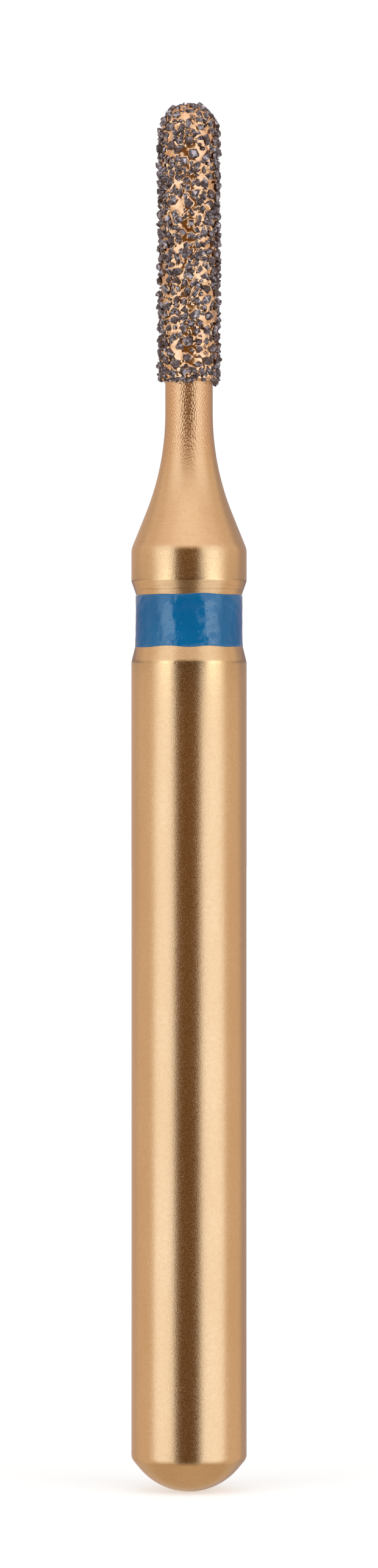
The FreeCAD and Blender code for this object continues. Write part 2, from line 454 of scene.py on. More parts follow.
def goldFinish():
    material, tree, shader = newMaterial("goldCoatedSteel")
    uv = add(tree, "ShaderNodeUVMap", uv_map="wall").outputs["UV"]
    height = add(tree, "ShaderNodeSeparateXYZ", {0: uv}).outputs["Y"]
    fine = speckled(tree, blank)
    tone = drifted(tree, blank["gold"], blank["goldDark"], blank)
    # turning lines run round the axis, so they change with the height alone
    lines = add(
        tree,
        "ShaderNodeTexNoise",
        {
            "W": height,
            "Scale": blank["linesPerMm"],
            "Detail": blank["lineDetail"],
            "Roughness": blank["lineRoughness"],
        },
        noise_dimensions="1D",
    ).outputs["Fac"]
    lineMask = add(tree, "ShaderNodeAttribute", attribute_name="turning").outputs["Fac"]
    lineHeight = calc(
        tree, "MULTIPLY", calc(tree, "MULTIPLY", lines, blank["lineDepth"]), lineMask
    )
    # their painted shade is broken up round the axis
    broken = add(
        tree,
        "ShaderNodeTexNoise",
        {
            "Vector": stretched(tree, uv, blank["breakStretch"]),
            "Scale": 1.0,
            "Detail": blank["breakDetail"],
        },
    ).outputs["Fac"]
    # the hatch of the neck leans across the axis
    leaning = stretched(tree, uv, blank["hatchStretch"], blank["hatchTurn"])
    bend = add(
        tree, "ShaderNodeTexNoise", {"Vector": leaning, "Scale": blank["hatchBendPerMm"]}
    ).outputs["Color"]
    bent = add(
        tree,
        "ShaderNodeVectorMath",
        {0: bend, 1: blank["hatchBend"], 2: leaning},
        operation="MULTIPLY_ADD",
    ).outputs["Vector"]
    cells = add(
        tree,
        "ShaderNodeTexVoronoi",
        {"Vector": bent, "Scale": 1 / blank["hatchCell"], "Randomness": blank["hatchScatter"]},
        feature="DISTANCE_TO_EDGE",
        voronoi_dimensions="2D",
    ).outputs["Distance"]
    crown = remap(tree, cells, 0.0, blank["hatchCrown"])
    hatchMask = add(tree, "ShaderNodeAttribute", attribute_name="hatch").outputs["Fac"]
    hatchHeight = calc(
        tree, "MULTIPLY", calc(tree, "MULTIPLY", crown, blank["hatchDepth"]), hatchMask
    )
    total = calc(tree, "ADD", calc(tree, "ADD", fine["Height"], lineHeight), hatchHeight)
    tree.links.new(bumpFrom(tree, total), shader.inputs["Normal"])
    # a warmer neck, with painted shade in the hollows of its hatch and along the turning lines
    mottle = useGroup(tree, speckle, {"Per mm": blank["mottlePerMm"], "Depth": 0.0})["Mask"]
    mottleShare = calc(tree, "MULTIPLY", mottle, blank["mottle"])
    mottled = mixColours(tree, mottleShare, tone["Colour"], blank["goldMottle"])
    neck = mixColours(tree, hatchMask, mottled, blank["goldNeck"])
    grooveShade = remap(tree, crown, 0.0, blank["hatchShadeEnd"], blank["hatchPaintedShade"], 0.0)
    hatchShaded = mixColours(
        tree, calc(tree, "MULTIPLY", grooveShade, hatchMask), neck, blank["goldPaintedShade"]
    )
    shift = blank["breakShift"]
    streak = calc(
        tree, "ADD", lines, remap(tree, broken, *blank["breakSpan"], -shift, shift)
    )
    lineShade = remap(tree, streak, *blank["lineShadeSpan"], 0.0, blank["linePaintedShade"])
    lineShaded = mixColours(
        tree, calc(tree, "MULTIPLY", lineShade, lineMask), hatchShaded, blank["goldPaintedShade"]
    )
    tree.links.new(lineShaded, shader.inputs["Base Color"])
    roughness = remap(tree, fine["Mask"], 0.0, 1.0, *blank["roughness"])
    tree.links.new(roughness, shader.inputs["Roughness"])
    shader.inputs["Metallic"].default_value = 1.0
    return material


gold = goldFinish()
turned = lathe("goldBlank", blankRows(), blank["segments"])
closePoles(turned)
rowHeights = np.array([v.co.z / mm for v in turned.data.vertices])
addFloats(turned, "turning", np.interp(rowHeights, blank["lineHeights"], blank["lineShares"]))
addFloats(turned, "hatch", np.interp(rowHeights, blank["hatchHeights"], blank["hatchShares"]))
dress(turned, gold, "turned_blank")
print("blank", len(turned.data.polygons), "faces")


# Lacquer ring

ring = {
    "segments": 400,
    "rows": 34,
    "low": 11.7174,
    "high": 12.436,
    # outer radius at shares of the height
    "wallShares": (0.0, 0.27, 1.0),
    "wallRadii": (0.749, 0.741, 0.7395),
    # the groove that it fills
    "gripHigh": 11.5088,
    "collarLow": 12.6328,
    "lowFlank": 14.0,
    "highFlank": 19.5,
    "shankRadius": 0.8,
    "floorRadius": 0.7055,
    "floorLow": 11.8898,
    "floorHigh": 12.3589,
    "flankGap": 0.0006,
    "thinnest": 0.003,
    "lip": 0.020,
    # wavering edges and a slight swell: count, longest and shortest wave, dimensions
    "edgeWave": 0.0085,
    "edgeWaves": (6, 2.6, 0.6, 2),
    "swell": 0.0024,
    "swellWaves": (12, 0.60, 0.12, 3),
    "swellRadius": 0.75,
    "seed": 7,
    "blue": (0.001, 0.148, 0.355, 1),
    "blueDark": (0.001, 0.124, 0.310, 1),
    "driftPerMm": 5.0,
    "driftAlong": 0.4,
    "specklePerMm": 22.0,
    "speckleDepth": 0.0022,
    "streakStretch": (26.0, 2.2, 1),
    "streakDetail": 2.0,
    "streakDepth": 0.0012,
    "pitsPerMm": 5.5,
    "pitSpan": (0.03, 0.08),
    "pitDepth": 0.0018,
    "roughness": (0.14, 0.26),
    "ior": 1.5,
    "specular": 0.12,
    "coat": 1.0,
    "coatRoughness": 0.05,
}

# a row holds its share of the ring's height, or one of these marks at the groove's floor
floorHighMark, floorLowMark = -2.0, -1.0


def ringRows():
    # the wall gets its radii in ringWave
    count = ring["rows"] - 1
    rows = [(0.0, (1 - math.cos(math.pi * i / count)) / 2) for i in range(count + 1)]
    rows += [(ring["floorRadius"], floorHighMark), (ring["floorRadius"], floorLowMark)]
    return rows + [rows[0]]


def ringWave(radii, shares, turns):
    chance = random.Random(ring["seed"])
    circle = np.stack([np.cos(turns), np.sin(turns)], axis=1)
    low = ring["low"] + sineField(chance, *ring["edgeWaves"])(circle) * ring["edgeWave"]
    high = ring["high"] + sineField(chance, *ring["edgeWaves"])(circle) * ring["edgeWave"]
    z = low + (high - low) * np.clip(shares, 0, 1)
    radius = ring["swellRadius"]
    places = np.broadcast_arrays(radius * np.cos(turns), radius * np.sin(turns), z)
    swell = sineField(chance, *ring["swellWaves"])(np.stack(places, axis=2))
    wall = np.interp(shares, ring["wallShares"], ring["wallRadii"]) + swell * ring["swell"]
    lowTan = math.tan(math.radians(ring["lowFlank"]))
    highTan = math.tan(math.radians(ring["highFlank"]))
    lowFlank = ring["shankRadius"] - (z - ring["gripHigh"]) * lowTan
    highFlank = ring["shankRadius"] - (ring["collarLow"] - z) * highTan
    flank = np.maximum(lowFlank, highFlank) + ring["flankGap"]
    edge = np.minimum(z - low, high - z) / ring["lip"]
    lift = np.sqrt(np.clip(1 - (1 - np.clip(edge, 0, 1)) ** 2, 0, 1))
    body = flank + (np.maximum(wall, flank + ring["thinnest"]) - flank) * lift
    floorZ = np.where(shares == floorHighMark, ring["floorHigh"], ring["floorLow"])
    outer = shares >= 0
    return np.where(outer, body, radii), np.where(outer, z, floorZ)


def lacquerFinish():
    material, tree, shader = newMaterial("blueLacquer")
    uv = add(tree, "ShaderNodeUVMap", uv_map="wall").outputs["UV"]
    fine = speckled(tree, ring)
    tone = drifted(tree, ring["blue"], ring["blueDark"], ring)
    # faint upright streaks, as the lacquer was wiped along the axis
    streaks = add(
        tree,
        "ShaderNodeTexNoise",
        {
            "Vector": stretched(tree, uv, ring["streakStretch"]),
            "Scale": 1.0,
            "Detail": ring["streakDetail"],
        },
    ).outputs["Fac"]
    streakHeight = calc(tree, "MULTIPLY", streaks, ring["streakDepth"])
    # a few small pits
    pits = add(
        tree,
        "ShaderNodeTexVoronoi",
        {"Vector": uv, "Scale": ring["pitsPerMm"]},
        voronoi_dimensions="2D",
    ).outputs["Distance"]
    pitHeight = calc(
        tree, "MULTIPLY", remap(tree, pits, *ring["pitSpan"], 1.0, 0.0), -ring["pitDepth"]
    )
    total = calc(tree, "ADD", calc(tree, "ADD", fine["Height"], streakHeight), pitHeight)
    normal = bumpFrom(tree, total)
    tree.links.new(normal, shader.inputs["Normal"])
    tree.links.new(normal, shader.inputs["Coat Normal"])
    tree.links.new(tone["Colour"], shader.inputs["Base Color"])
    roughness = remap(tree, fine["Mask"], 0.0, 1.0, *ring["roughness"])
    tree.links.new(roughness, shader.inputs["Roughness"])
    shader.inputs["IOR"].default_value = ring["ior"]
    shader.inputs["Specular IOR Level"].default_value = ring["specular"]
    shader.inputs["Coat Weight"].default_value = ring["coat"]
    shader.inputs["Coat Roughness"].default_value = ring["coatRoughness"]
    return material


lacquer = lacquerFinish()
lacquerRing = lathe("lacquerRing", ringRows(), ring["segments"], ringWave)
closePoles(lacquerRing)
dress(lacquerRing, lacquer, "colour_ring")
print("ring", len(lacquerRing.data.polygons), "faces")


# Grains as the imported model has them, grown a little, with small splinters between them

crystals = {
    "tipCentre": 18.8631,
    "cornerDigits": 5,
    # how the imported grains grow: all are wider, and the last two fade out towards the tip
    "wider": 1.05,
    "tipReach": 1.15,
    "taller": 0.26,
    "lift": 0.012,
    "splinters": 1280,
    "splinterSize": (0.060, 0.122),
    "splinterPoints": 9,
    "splinterReach": (0.8, 1.0),
    "splinterGirth": 0.78,
    "clingStep": (0.80, 1.10),
    "nearZero": 1e-9,
    "seatRadius": 0.389,
    "seatLift": (0.003, 0.024),
    "seatLow": 15.41,
    # those along the plating's lower edge
    "edgeSplinters": 105,
    "edgeHeights": (15.385, 15.570),
    "edgeRadius": 0.388,
    "seed": 5,
}


def readGrains():
    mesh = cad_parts["diamond_grit"].data
    points = np.zeros(len(mesh.vertices) * 3, np.float32)
    mesh.vertices.foreach_get("co", points)
    points = points.reshape(-1, 3).astype(float) / mm
    mesh.calc_loop_triangles()
    corners = np.zeros(len(mesh.loop_triangles) * 3, np.int32)
    mesh.loop_triangles.foreach_get("vertices", corners)
    rounded = np.round(points, crystals["cornerDigits"])
    keys, same = np.unique(rounded, axis=0, return_inverse=True)
    corners = same.ravel()[corners].reshape(-1, 3)
    owner = list(range(len(keys)))

    def find(i):
        while owner[i] != i:
            owner[i] = owner[owner[i]]
            i = owner[i]
        return i

    for a, b, c in corners:
        owner[find(a)] = find(b)
        owner[find(b)] = find(c)
    groups = {}
    for triangle in corners:
        groups.setdefault(find(triangle[0]), []).append(triangle)
    found = []
    for triangles in groups.values():
        used = np.unique(np.array(triangles))
        found.append({"points": keys[used], "centre": keys[used].mean(axis=0)})
    found.sort(key=lambda grain: tuple(grain["centre"]))
    return found


def outwardFrom(point):
    spine = np.array([0, 0, min(point[2], crystals["tipCentre"])])
    return spine, (point - spine) / np.linalg.norm(point - spine)


def hullOf(points, centre, outward):
    # a crystal: its points, and the outward planes of their convex hull
    work = bmesh.new()
    for point in points:
        work.verts.new(point)
    bmesh.ops.convex_hull(work, input=work.verts)
    work.normal_update()
    normals = np.array([f.normal for f in work.faces])
    offsets = np.array([f.normal @ f.verts[0].co for f in work.faces])
    work.free()
    flip = np.sign(offsets - normals @ centre)
    return {
        "points": points,
        "centre": centre,
        "outward": outward,
        "normals": normals * flip[:, None],
        "offsets": offsets * flip,
    }


def grown(grain):
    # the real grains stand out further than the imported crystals, and are a little wider
    centre = grain["centre"]
    _, outward = outwardFrom(centre)
    offset = grain["points"] - centre
    along = (offset @ outward)[:, None] * outward
    sideways = (offset - along) * crystals["wider"]
    # none grows taller at the very tip, which keeps the whole at its length
    besideTip = 1 - min(1.0, max(0.0, crystals["tipReach"] * outward[2]))
    taller = 1 + crystals["taller"] * besideTip
    raised = centre + outward * crystals["lift"] * besideTip
    return hullOf(raised + along * taller + sideways, raised, outward)


def splinterAt(chance, seat, outward, size):
    longest = np.array([chance.gauss(0, 1) for _ in range(3)])
    longest /= np.linalg.norm(longest)
    points = []
    for _ in range(crystals["splinterPoints"]):
        ray = np.array([chance.gauss(0, 1) for _ in range(3)])
        ray *= size / 2 * chance.uniform(*crystals["splinterReach"]) / np.linalg.norm(ray)
        lengthwise = (ray @ longest) * longest
        points.append(seat + lengthwise + (ray - lengthwise) * crystals["splinterGirth"])
    return hullOf(np.array(points), seat, outward)


def makeSplinters(hosts):
    # small broken crystals that cling to the sides of the large ones
    chance = random.Random(crystals["seed"])
    made = []
    for _ in range(crystals["edgeSplinters"]):
        turn = chance.uniform(0, 2 * math.pi)
        outward = np.array([math.cos(turn), math.sin(turn), 0])
        seat = outward * crystals["edgeRadius"] + (0, 0, chance.uniform(*crystals["edgeHeights"]))
        made.append(splinterAt(chance, seat, outward, crystals["splinterSize"][1]))
    while len(made) < crystals["splinters"]:
        host = chance.choice(hosts)
        size = chance.uniform(*crystals["splinterSize"])
        offset = host["points"] - host["centre"]
        along = (offset @ host["outward"])[:, None] * host["outward"]
        reach = np.linalg.norm(offset - along, axis=1).max()
        east = np.cross((0, 0, 1), host["outward"]) + crystals["nearZero"]
        east /= np.linalg.norm(east)
        up = np.cross(host["outward"], east)
        turn = chance.uniform(0, 2 * math.pi)
        step = (reach + size / 2) * chance.uniform(*crystals["clingStep"])
        spot = host["centre"] + (east * math.cos(turn) + up * math.sin(turn)) * step
        spine, outward = outwardFrom(spot)
        seat = spine + outward * (crystals["seatRadius"] + chance.uniform(*crystals["seatLift"]))
        if seat[2] < crystals["seatLow"] or seat[2] + size / 2 > tipTop:
            continue
        made.append(splinterAt(chance, seat, outward, size))
    return made


grains = [grown(grain) for grain in readGrains()]
splinters = makeSplinters(grains)
print("grains", len(grains), "and splinters", len(splinters))


# Plated bond

bond = {
    "segments": 420,
    "rowStep": 0.0058,
    "core": 0.3355,
    "innerRows": 9,
    "lip": 0.347,
    "radius": 0.385,
    "low": 15.3981,
    "skirt": 0.040,
    "tipCentre": 18.8631,
    # how it climbs up the grains
    "climb": 0.013,
    "climbWidth": 0.009,
    "climbReach": 4,
    # unevenness, and the wavering end on the neck: count, longest and shortest wave, dimensions
    "undulation": 0.0020,
    "undulationWaves": (14, 0.26, 0.09, 3),
    "edgeWave": 0.010,
    "edgeWaves": (9, 1.6, 0.22, 2),
    "edgeReach": 0.10,
    "seed": 23,
    "maxTriangles": 185000,
    "gold": (0.96, 0.65, 0.39, 1),
    "goldDark": (0.74, 0.41, 0.20, 1),
    "driftPerMm": 7.0,
    "driftAlong": 1.0,
    "specklePerMm": 34.0,
    "speckleDepth": 0.0005,
    "roughness": (0.07, 0.14),
}


def bondOutline():
    radius, tipCentre, step = bond["radius"], bond["tipCentre"], bond["rowStep"]
    low = bond["low"] + bond["skirt"]
    rows = splitLine((bond["lip"], bond["low"]), (radius, low), step)
    count = round((tipCentre - low) / step)
    rows += [(radius, low + (tipCentre - low) * i / count) for i in range(1, count + 1)]
    count = round(radius * math.pi / 2 / step)
    for i in range(1, count + 1):
        turn = math.pi / 2 * i / count
        rows.append((radius * math.cos(turn), tipCentre + radius * math.sin(turn)))
    return np.array(rows)


def bondSurface(turns):
    outline = bondOutline()
    base = np.stack(
        [
            outline[:, :1] * np.cos(turns),
            outline[:, :1] * np.sin(turns),
            np.repeat(outline[:, 1:], len(turns), axis=1),
        ],
        axis=2,
    )
    # the plating ends in a wavering line on the neck
    chance = random.Random(bond["seed"])
    circle = np.stack([np.cos(turns), np.sin(turns)], axis=1)
    waver = sineField(chance, *bond["edgeWaves"])(circle) * bond["edgeWave"]
    nearEdge = np.clip(1 - (outline[:, 1] - bond["low"]) / bond["edgeReach"], 0, 1)
    base[..., 2] += nearEdge[:, None] * waver
    spine = np.zeros_like(base)
    spine[..., 2] = np.minimum(base[..., 2], bond["tipCentre"])
    outward = base - spine
    outward /= np.linalg.norm(outward, axis=2)[..., None]
    # it rises towards each grain in a small fillet
    lift = np.zeros(base.shape[:2])
    reach = bond["climbReach"] * bond["climbWidth"]
    for grain in grains + splinters:
        centre = grain["centre"]
        size = np.linalg.norm(grain["points"] - centre, axis=1).max() + reach
        away = np.hypot(
            outline[:, 0] - math.hypot(centre[0], centre[1]), outline[:, 1] - centre[2]
        )
        near = np.nonzero(away < size)[0]
        if not len(near):
            continue
        window = base[near[0]: near[-1] + 1]
        close = ((window - centre) ** 2).sum(axis=2) < size**2
        depth = (window[close] @ grain["normals"].T - grain["offsets"]).max(axis=1)
        climb = bond["climb"] * np.exp(-np.clip(depth, 0, None) / bond["climbWidth"])
        part = lift[near[0]: near[-1] + 1]
        part[close] = np.maximum(part[close], climb)
    lift += sineField(chance, *bond["undulationWaves"])(base) * bond["undulation"]
    fade = np.clip((outline[:, 1] - bond["low"]) / bond["skirt"], 0, 1)
    return base + outward * (lift * fade[:, None])[..., None]


def makeBond():
    turns = np.arange(bond["segments"]) * 2 * math.pi / bond["segments"]
    core, tipCentre, innerRows = bond["core"], bond["tipCentre"], bond["innerRows"]
    inner = [
        (core * math.cos(t), tipCentre + core * math.sin(t))
        for t in np.linspace(math.pi / 2, 0, innerRows)
    ]
    inner += [(core, z) for z in np.linspace(tipCentre, bond["low"], innerRows)[1:]]
    innerGrid = np.array([
        [(r * math.cos(t), r * math.sin(t), z) for t in turns] for r, z in inner
    ])
    grid = np.concatenate([bondSurface(turns), innerGrid])
    index = np.arange(grid.shape[0] * grid.shape[1]).reshape(grid.shape[:2])
    faces = ringFaces(np.concatenate([index, index[:1]]))
    piece = makePiece("platedBond", grid.reshape(-1, 3), faces)
    closePoles(piece)
    share = bond["maxTriangles"] / (2 * len(piece.data.polygons))
    if share < 1:
        thin = piece.modifiers.new("thin", "DECIMATE")
        thin.ratio = share
        seen = piece.evaluated_get(bpy.context.evaluated_depsgraph_get())
        mesh = bpy.data.meshes.new_from_object(seen)
        piece.modifiers.clear()
        piece.data = mesh
    smoothFaces(piece.data)
    return piece


def bondFinish():
    material, tree, shader = newMaterial("goldPlatedBond")
    fine = speckled(tree, bond)
    tone = drifted(tree, bond["gold"], bond["goldDark"], bond)
    tree.links.new(bumpFrom(tree, fine["Height"]), shader.inputs["Normal"])
    tree.links.new(tone["Colour"], shader.inputs["Base Color"])
    roughness = remap(tree, fine["Mask"], 0.0, 1.0, *bond["roughness"])
    tree.links.new(roughness, shader.inputs["Roughness"])
    shader.inputs["Metallic"].default_value = 1.0
    return material


bondGold = bondFinish()
plating = makeBond()
dress(plating, bondGold, "bond_layer")
print("bond", len(plating.data.polygons), "faces")


# Diamond grains, chipped from the grown ones

grit = {
    "chips": (4, 8),
    "splinterChips": (0, 2),
    "chipDepth": (0.03, 0.13),
    "chipLean": 0.7,
    "cutMargin": 1e-5,
    "roughen": 0.0042,
    "splinterRoughen": 0.0021,
    # count, longest and shortest wave, dimensions
    "roughWaves": (14, 0.075, 0.026, 3),
    # triangles whose normals fall on one point of this grid are one facet
    "facetGrid": 4,
    "nearZero": 1e-12,
    "sharpAngle": 14.0,
    "seed": 11,
    # painted shadow, the crystal's own middle tone and a painted highlight for the facets, and a
    # warm cast
    "paintedShadow": (0.014, 0.008, 0.009, 1),
    "middle": (0.120, 0.092, 0.096, 1),
    "paintedHighlight": (0.72, 0.65, 0.72, 1),
    "warm": (0.120, 0.058, 0.040, 1),
    "facetShare": 0.62,
    "cellShare": 0.48,
    "patchShift": 0.18,
    "driftPerMm": 20.0,
    "driftAlong": 1.0,
    "middleSpan": (0.27, 0.59),
    "highlightSpan": (0.59, 1.08),
    "warmSpan": (0.5, 1.0),
    "warmShare": 0.5,
    "cellsPerMm": 24.0,
    "cellDepth": 0.0045,
    "specklePerMm": 34.0,
    "speckleDepth": 0.0050,
    "roughness": (0.22, 0.08),
    "ior": 1.50,
}


def chippedGrain(grain, chance, chips):
    work = bmesh.new()
    for point in grain["points"]:
        work.verts.new(point)
    hull = bmesh.ops.convex_hull(work, input=work.verts)
    bmesh.ops.delete(work, geom=hull["geom_interior"], context="VERTS")
    size = np.linalg.norm(grain["points"] - grain["centre"], axis=1).max()
    for _ in range(chance.randint(*chips)):
        direction = np.array([chance.gauss(0, 1) for _ in range(3)])
        direction = direction + grain["outward"] * grit["chipLean"]
        direction /= np.linalg.norm(direction)
        reach = max(float(direction @ np.array(v.co)) for v in work.verts)
        plane = direction * (reach - size * chance.uniform(*grit["chipDepth"]))
        cut = bmesh.ops.bisect_plane(
            work, geom=work.verts[:] + work.edges[:] + work.faces[:],
            dist=grit["cutMargin"], plane_co=plane, plane_no=direction, clear_outer=True,
        )
        rim = [e for e in cut["geom_cut"] if isinstance(e, bmesh.types.BMEdge)]
        if len(rim) > 2:
            bmesh.ops.edgeloop_fill(work, edges=rim)
    bmesh.ops.triangulate(work, faces=work.faces)
    bmesh.ops.subdivide_edges(work, edges=work.edges, cuts=1, use_grid_fill=True)
    bmesh.ops.triangulate(work, faces=work.faces)
    work.verts.ensure_lookup_table()
    points = np.array([v.co for v in work.verts])
    faces = [[v.index for v in f.verts] for f in work.faces]
    work.free()
    return points, faces


def makeGrit(name, members, chips, roughen):
    chance = random.Random(grit["seed"] + len(members))
    uneven = sineField(chance, *grit["roughWaves"])
    points, faces, tones, paintedFacetLights = [], [], [], []
    start = 0
    for grain in members:
        spots, sides = chippedGrain(grain, chance, chips)
        # each flat facet gets one random value, which picks its painted shadow, middle tone or
        # painted highlight
        a, b, c = (spots[[side[i] for side in sides]] for i in range(3))
        normals = np.cross(b - a, c - a)
        normals /= np.linalg.norm(normals, axis=1)[:, None] + grit["nearZero"]
        facets = {}
        for normal in np.round(normals * grit["facetGrid"]):
            paintedFacetLights.append(facets.setdefault(tuple(normal), chance.random()))
        inward = grain["centre"] - spots
        inward /= np.linalg.norm(inward, axis=1)[:, None]
        # the unevenness only goes inward, so that no grain outgrows its own hull
        depths = (uneven(spots) * 0.5 + 0.5).clip(0, 1) * roughen
        points.append(spots + inward * depths[:, None])
        faces += [[i + start for i in side] for side in sides]
        tones += [chance.random()] * len(spots)
        start += len(spots)
    piece = makePiece(name, np.concatenate(points), faces)
    work = bmesh.new()
    work.from_mesh(piece.data)
    bmesh.ops.recalc_face_normals(work, faces=work.faces)
    work.to_mesh(piece.data)
    work.free()
    addFloats(piece, "tone", tones)
    addFloats(piece, "paintedFacetLight", paintedFacetLights, "FACE")
    piece.data.set_sharp_from_angle(angle=math.radians(grit["sharpAngle"]))
    return piece


def grainFinish():
    material, tree, shader = newMaterial("diamondGrain")
    fine = speckled(tree, grit)
    # each facet gets painted shadow, the middle tone or a painted highlight, with patches of
    # painted shadow and warm tone inside it and a warm cast on some grains
    tone = add(tree, "ShaderNodeAttribute", attribute_name="tone").outputs["Fac"]
    facet = add(tree, "ShaderNodeAttribute", attribute_name="paintedFacetLight").outputs["Fac"]
    patches = drifted(tree, grit["warm"], grit["paintedShadow"], grit)
    cells = add(
        tree,
        "ShaderNodeTexVoronoi",
        {"Vector": placeInMm(tree), "Scale": grit["cellsPerMm"]},
    ).outputs
    cell = add(tree, "ShaderNodeSeparateColor", {0: cells["Color"]}).outputs["Red"]
    mixed = calc(
        tree, "ADD",
        calc(tree, "MULTIPLY", facet, grit["facetShare"]),
        calc(tree, "MULTIPLY", cell, grit["cellShare"]),
    )
    shift = grit["patchShift"]
    # how lit each facet is painted: low is painted shadow, high a painted highlight
    depth = calc(tree, "ADD", mixed, remap(tree, patches["Mask"], 0.0, 1.0, -shift, shift))
    shaded = mixColours(
        tree, remap(tree, depth, *grit["middleSpan"]), patches["Colour"], grit["middle"]
    )
    lit = mixColours(tree, remap(tree, depth, *grit["highlightSpan"]), shaded, grit["paintedHighlight"])
    warmth = remap(tree, tone, *grit["warmSpan"], 0.0, grit["warmShare"])
    tree.links.new(mixColours(tree, warmth, lit, grit["warm"]), shader.inputs["Base Color"])
    hollows = calc(tree, "MULTIPLY", cells["Distance"], -grit["cellDepth"])
    relief = calc(tree, "ADD", hollows, fine["Height"])
    tree.links.new(bumpFrom(tree, relief), shader.inputs["Normal"])
    roughness = remap(tree, patches["Mask"], 0.0, 1.0, *grit["roughness"])
    tree.links.new(roughness, shader.inputs["Roughness"])
    shader.inputs["IOR"].default_value = grit["ior"]
    return material


diamond = grainFinish()
for name, members, chips, roughen in (
    ("diamondGrains", grains, grit["chips"], grit["roughen"]),
    ("diamondSplinters", splinters, grit["splinterChips"], grit["splinterRoughen"]),
):
    grainPiece = makeGrit(name, members, chips, roughen)
    dress(grainPiece, diamond, "diamond_grit")
    print(name, len(grainPiece.data.polygons), "faces")


# Studio: floor, soft lamps and cards that only reflections see

studio = {
    "middle": 9.65,
    "ambient": 0.45,
    "floorSize": 1200.0,
    "floorColour": (0.8, 0.8, 0.8, 1),
    "floorRoughness": 0.9,
    "floorNear": 0.48,
    "floorFade": (6.0, 60.0),
    "lampDistance": 80.0,
    "lampRadiance": 1.15,
    "cardSteps": 48,
    "fadeHeights": (-7, -1, 5, 40),
}

lamps = {
    "lampLeft": {"azimuth": -50, "elevation": 22, "size": (60.0, 100.0)},
    "lampRight": {"azimuth": 50, "elevation": 22, "size": (60.0, 100.0)},
    "lampTop": {"azimuth": 0, "elevation": 50, "size": (50.0, 40.0)},
}

# Directions are in degrees, and so are the widths over which a card fades out: at its sides for
# each of the four fadeHeights, and at its ends along the lower and the upper edge. The colours
# run from the lower edge to the upper one. A mirrored card comes on both sides.
noFade = (0, 0, 0, 0)
slowFade = (3, 12, 26, 34)
cards = {
    "cardFront": {
        "azimuths": (-30, 24), "elevations": (-72, 34), "radius": 66,
        "colours": ((0.0, 0.0, 0.0), (0.240, 0.128, 0.042)),
        "sideFade": (1.5, 1.5, 1.5, 3), "endFade": (45, 18),
    },
    "lightCard": {
        "azimuths": (14, 77), "elevations": (-50, 44), "radius": 70, "mirrored": True,
        "colours": ((1.24, 1.36, 1.62), (1.18, 1.28, 1.51)),
        "sideFade": slowFade, "endFade": (40, 26),
    },
    "sideCard": {
        "azimuths": (62, 128), "elevations": (-45, 74), "radius": 72, "mirrored": True,
        "colours": ((0.72, 0.61, 0.53), (0.74, 0.63, 0.57)),
        "sideFade": slowFade, "endFade": (12, 14),
    },
    "cardBackLeft": {
        "azimuths": (-180, -112), "elevations": (-45, 70), "radius": 74,
        "colours": ((0.60, 0.50, 0.45), (0.62, 0.52, 0.47)),
        "sideFade": noFade, "endFade": (12, 15),
    },
    "cardBackRight": {
        "azimuths": (112, 180), "elevations": (-45, 70), "radius": 74,
        "colours": ((0.45, 0.39, 0.40), (0.48, 0.42, 0.43)),
        "sideFade": noFade, "endFade": (12, 15),
    },
    "cardLow": {
        "azimuths": (-180, 180), "elevations": (-90, -12), "radius": 76,
        "colours": ((0.62, 0.52, 0.42), (0.52, 0.40, 0.29)),
        "sideFade": noFade, "endFade": (0, 40),
    },
    "cardTop": {
        "azimuths": (-52, 52), "elevations": (26, 88), "radius": 77,
        "colours": ((1.10, 1.06, 1.12), (1.12, 1.08, 1.15)),
        "sideFade": (30, 30, 30, 30), "endFade": (20, 20),
    },
    "cardHigh": {
        "azimuths": (-180, 180), "elevations": (22, 90), "radius": 78,
        "colours": ((0.90, 0.78, 0.77), (0.93, 0.81, 0.80)),
        "sideFade": noFade, "endFade": (16, 0),
    },
}

# Seven narrow cards close by, at the ring's height: its glossy coat shows them sharply. They are
# of one colour each. The gleams fade more slowly on their outer side, where skew widens the fade.
nearHeights = (17.6, 27.8)
nearCards = {
    "ringFront": {
        "azimuths": (-32, 34), "radius": 6.4, "colours": ((0.03, 0.02, 0.01),),
        "sideFade": (1, 1, 1, 1), "endFade": (1, 1),
    },
    "ringGleamLeft": {
        "azimuths": (-67, -30), "radius": 6.5, "colours": ((2.3, 2.55, 2.5),),
        "sideFade": (3, 3, 3, 3), "endFade": (3, 2), "skew": (6, 1),
    },
    "ringGleamRight": {
        "azimuths": (32, 71), "radius": 6.5, "colours": ((2.6, 2.85, 2.8),),
        "sideFade": (3, 3, 3, 3), "endFade": (3, 2), "skew": (1, 6),
    },
    "ringSide": {
        "azimuths": (46, 100), "radius": 6.6, "colours": ((0.48, 0.43, 0.35),),
        "sideFade": noFade, "endFade": (4, 3), "mirrored": True,
    },
    "ringBack": {
        "azimuths": (100, 180), "radius": 6.6, "colours": ((0.26, 0.23, 0.30),),
        "sideFade": noFade, "endFade": (4, 3), "mirrored": True,
    },
}


def towards(azimuth, elevation, distance):
    # azimuth 0 is the camera's side, and it grows towards +X
    a, e = math.radians(azimuth), math.radians(elevation)
    return np.array([
        math.sin(a) * math.cos(e), -math.cos(a) * math.cos(e), math.sin(e)
    ]) * distance + np.array([0, 0, studio["middle"]])


def seenRays(tree):
    # 1 for the rays that show a colour, 0 for those that only carry light
    path = add(tree, "ShaderNodeLightPath").outputs
    seen = calc(tree, "MAXIMUM", path["Is Camera Ray"], path["Is Glossy Ray"])
    return calc(tree, "MAXIMUM", seen, path["Is Transmission Ray"])


